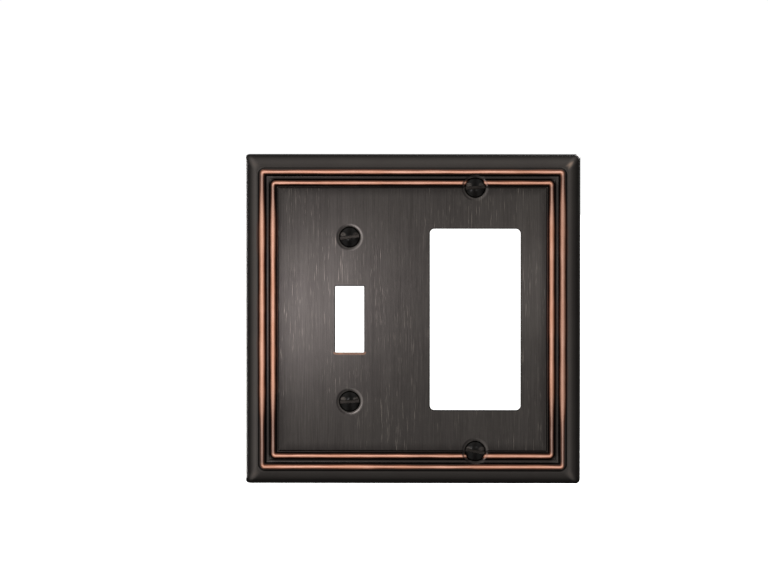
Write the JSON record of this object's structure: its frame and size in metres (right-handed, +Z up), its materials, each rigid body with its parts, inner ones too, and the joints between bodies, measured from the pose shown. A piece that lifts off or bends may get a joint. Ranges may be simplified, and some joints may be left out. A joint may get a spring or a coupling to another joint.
{
  "type": "wall plate cover",
  "caption": "Wall plate cover with a toggle opening beside a decorator opening, a double-beaded border and slotted oval-head screws, in an aged-bronze finish.",
  "frame": {"origin": "middle of the plate's outline on the wall plane, which is the plane of the rim at the plate's back", "axes": "+X to the right, +Y into the wall, +Z up; the plate's front faces -Y, with the toggle opening on the left (-X) and the decorator opening on the right (+X)"},
  "size_m": [0.123, 0.0209, 0.121],
  "materials": {
    "aged_bronze": "satin aged bronze, finely brushed upright on the flat middle, worn to bare copper along the beads",
    "screw_bronze": "gloss near-black bronze"
  },
  "bodies": {
    "plate": {"face_plate": "aged_bronze"},
    "toggle_screw_upper": {"toggle_screw_upper": "screw_bronze"},
    "toggle_screw_lower": {"toggle_screw_lower": "screw_bronze"},
    "decorator_screw_upper": {"decorator_screw_upper": "screw_bronze"},
    "decorator_screw_lower": {"decorator_screw_lower": "screw_bronze"}
  },
  "joints": [
    {"name": "toggle_screw_upper_travel", "type": "slide", "parent": "plate", "child": "toggle_screw_upper", "axis": [0, -1, 0], "range_m": [0, 0.0205]},
    {"name": "toggle_screw_lower_travel", "type": "slide", "parent": "plate", "child": "toggle_screw_lower", "axis": [0, -1, 0], "range_m": [0, 0.0205]},
    {"name": "decorator_screw_upper_travel", "type": "slide", "parent": "plate", "child": "decorator_screw_upper", "axis": [0, -1, 0], "range_m": [0, 0.0205]},
    {"name": "decorator_screw_lower_travel", "type": "slide", "parent": "plate", "child": "decorator_screw_lower", "axis": [0, -1, 0], "range_m": [0, 0.0205]}
  ]
}
